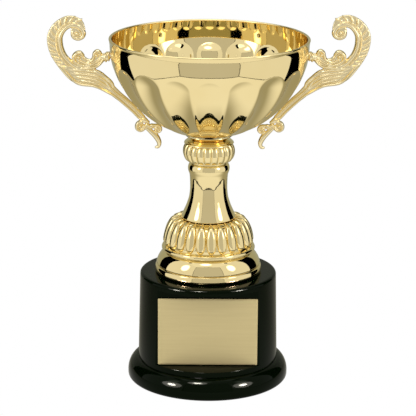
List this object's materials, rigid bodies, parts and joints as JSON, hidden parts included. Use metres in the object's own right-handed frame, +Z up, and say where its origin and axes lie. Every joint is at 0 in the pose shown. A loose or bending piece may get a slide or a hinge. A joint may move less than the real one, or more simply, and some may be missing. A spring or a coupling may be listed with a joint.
{
  "type": "cup trophy",
  "caption": "Presentation cup: fluted gold bowl with two scroll handles on a lobed and petalled stem, clamped to a round black base with a blank name plate.",
  "frame": {"origin": "centre of the round foot, on the surface that the trophy stands on", "axes": "+Z up through the rod, +X towards the right-hand handle as the name plate is read, -Y the way the name plate faces"},
  "size_m": [0.2046, 0.1268, 0.2383],
  "materials": {
    "gold_bowl": "bright gold plating, mirror polished",
    "gold_handle": "pale gold plating over a satin casting",
    "gold_stem": "bright gold plating, mirror polished",
    "gold_plate": "fine brushed gold, with a bright bevelled edge",
    "black_base": "deep gloss",
    "foam_tape": "matt foam",
    "felt": "felt",
    "iron": "as cast",
    "steel": "zinc plated"
  },
  "bodies": {
    "root": {"bowl": "gold_bowl", "handle_left": "gold_handle", "handle_right": "gold_handle", "handle_screw_upper_left": "steel", "handle_screw_upper_right": "steel", "handle_screw_lower_left": "steel", "handle_screw_lower_right": "steel", "handle_washer_left": "steel", "handle_washer_right": "steel", "neck_ring": "gold_stem", "knob": "gold_stem", "column": "gold_stem", "petal_dome": "gold_stem", "foot_flange": "gold_stem", "base": "black_base", "name_plate": "gold_plate", "plate_tape": "foam_tape", "felt_pad": "felt", "base_weight": "iron", "base_washer": "steel", "base_lock_washer": "steel", "base_nut": "steel", "tie_rod": "steel", "bowl_washer": "steel", "bowl_nut": "steel"}
  },
  "joints": []
}
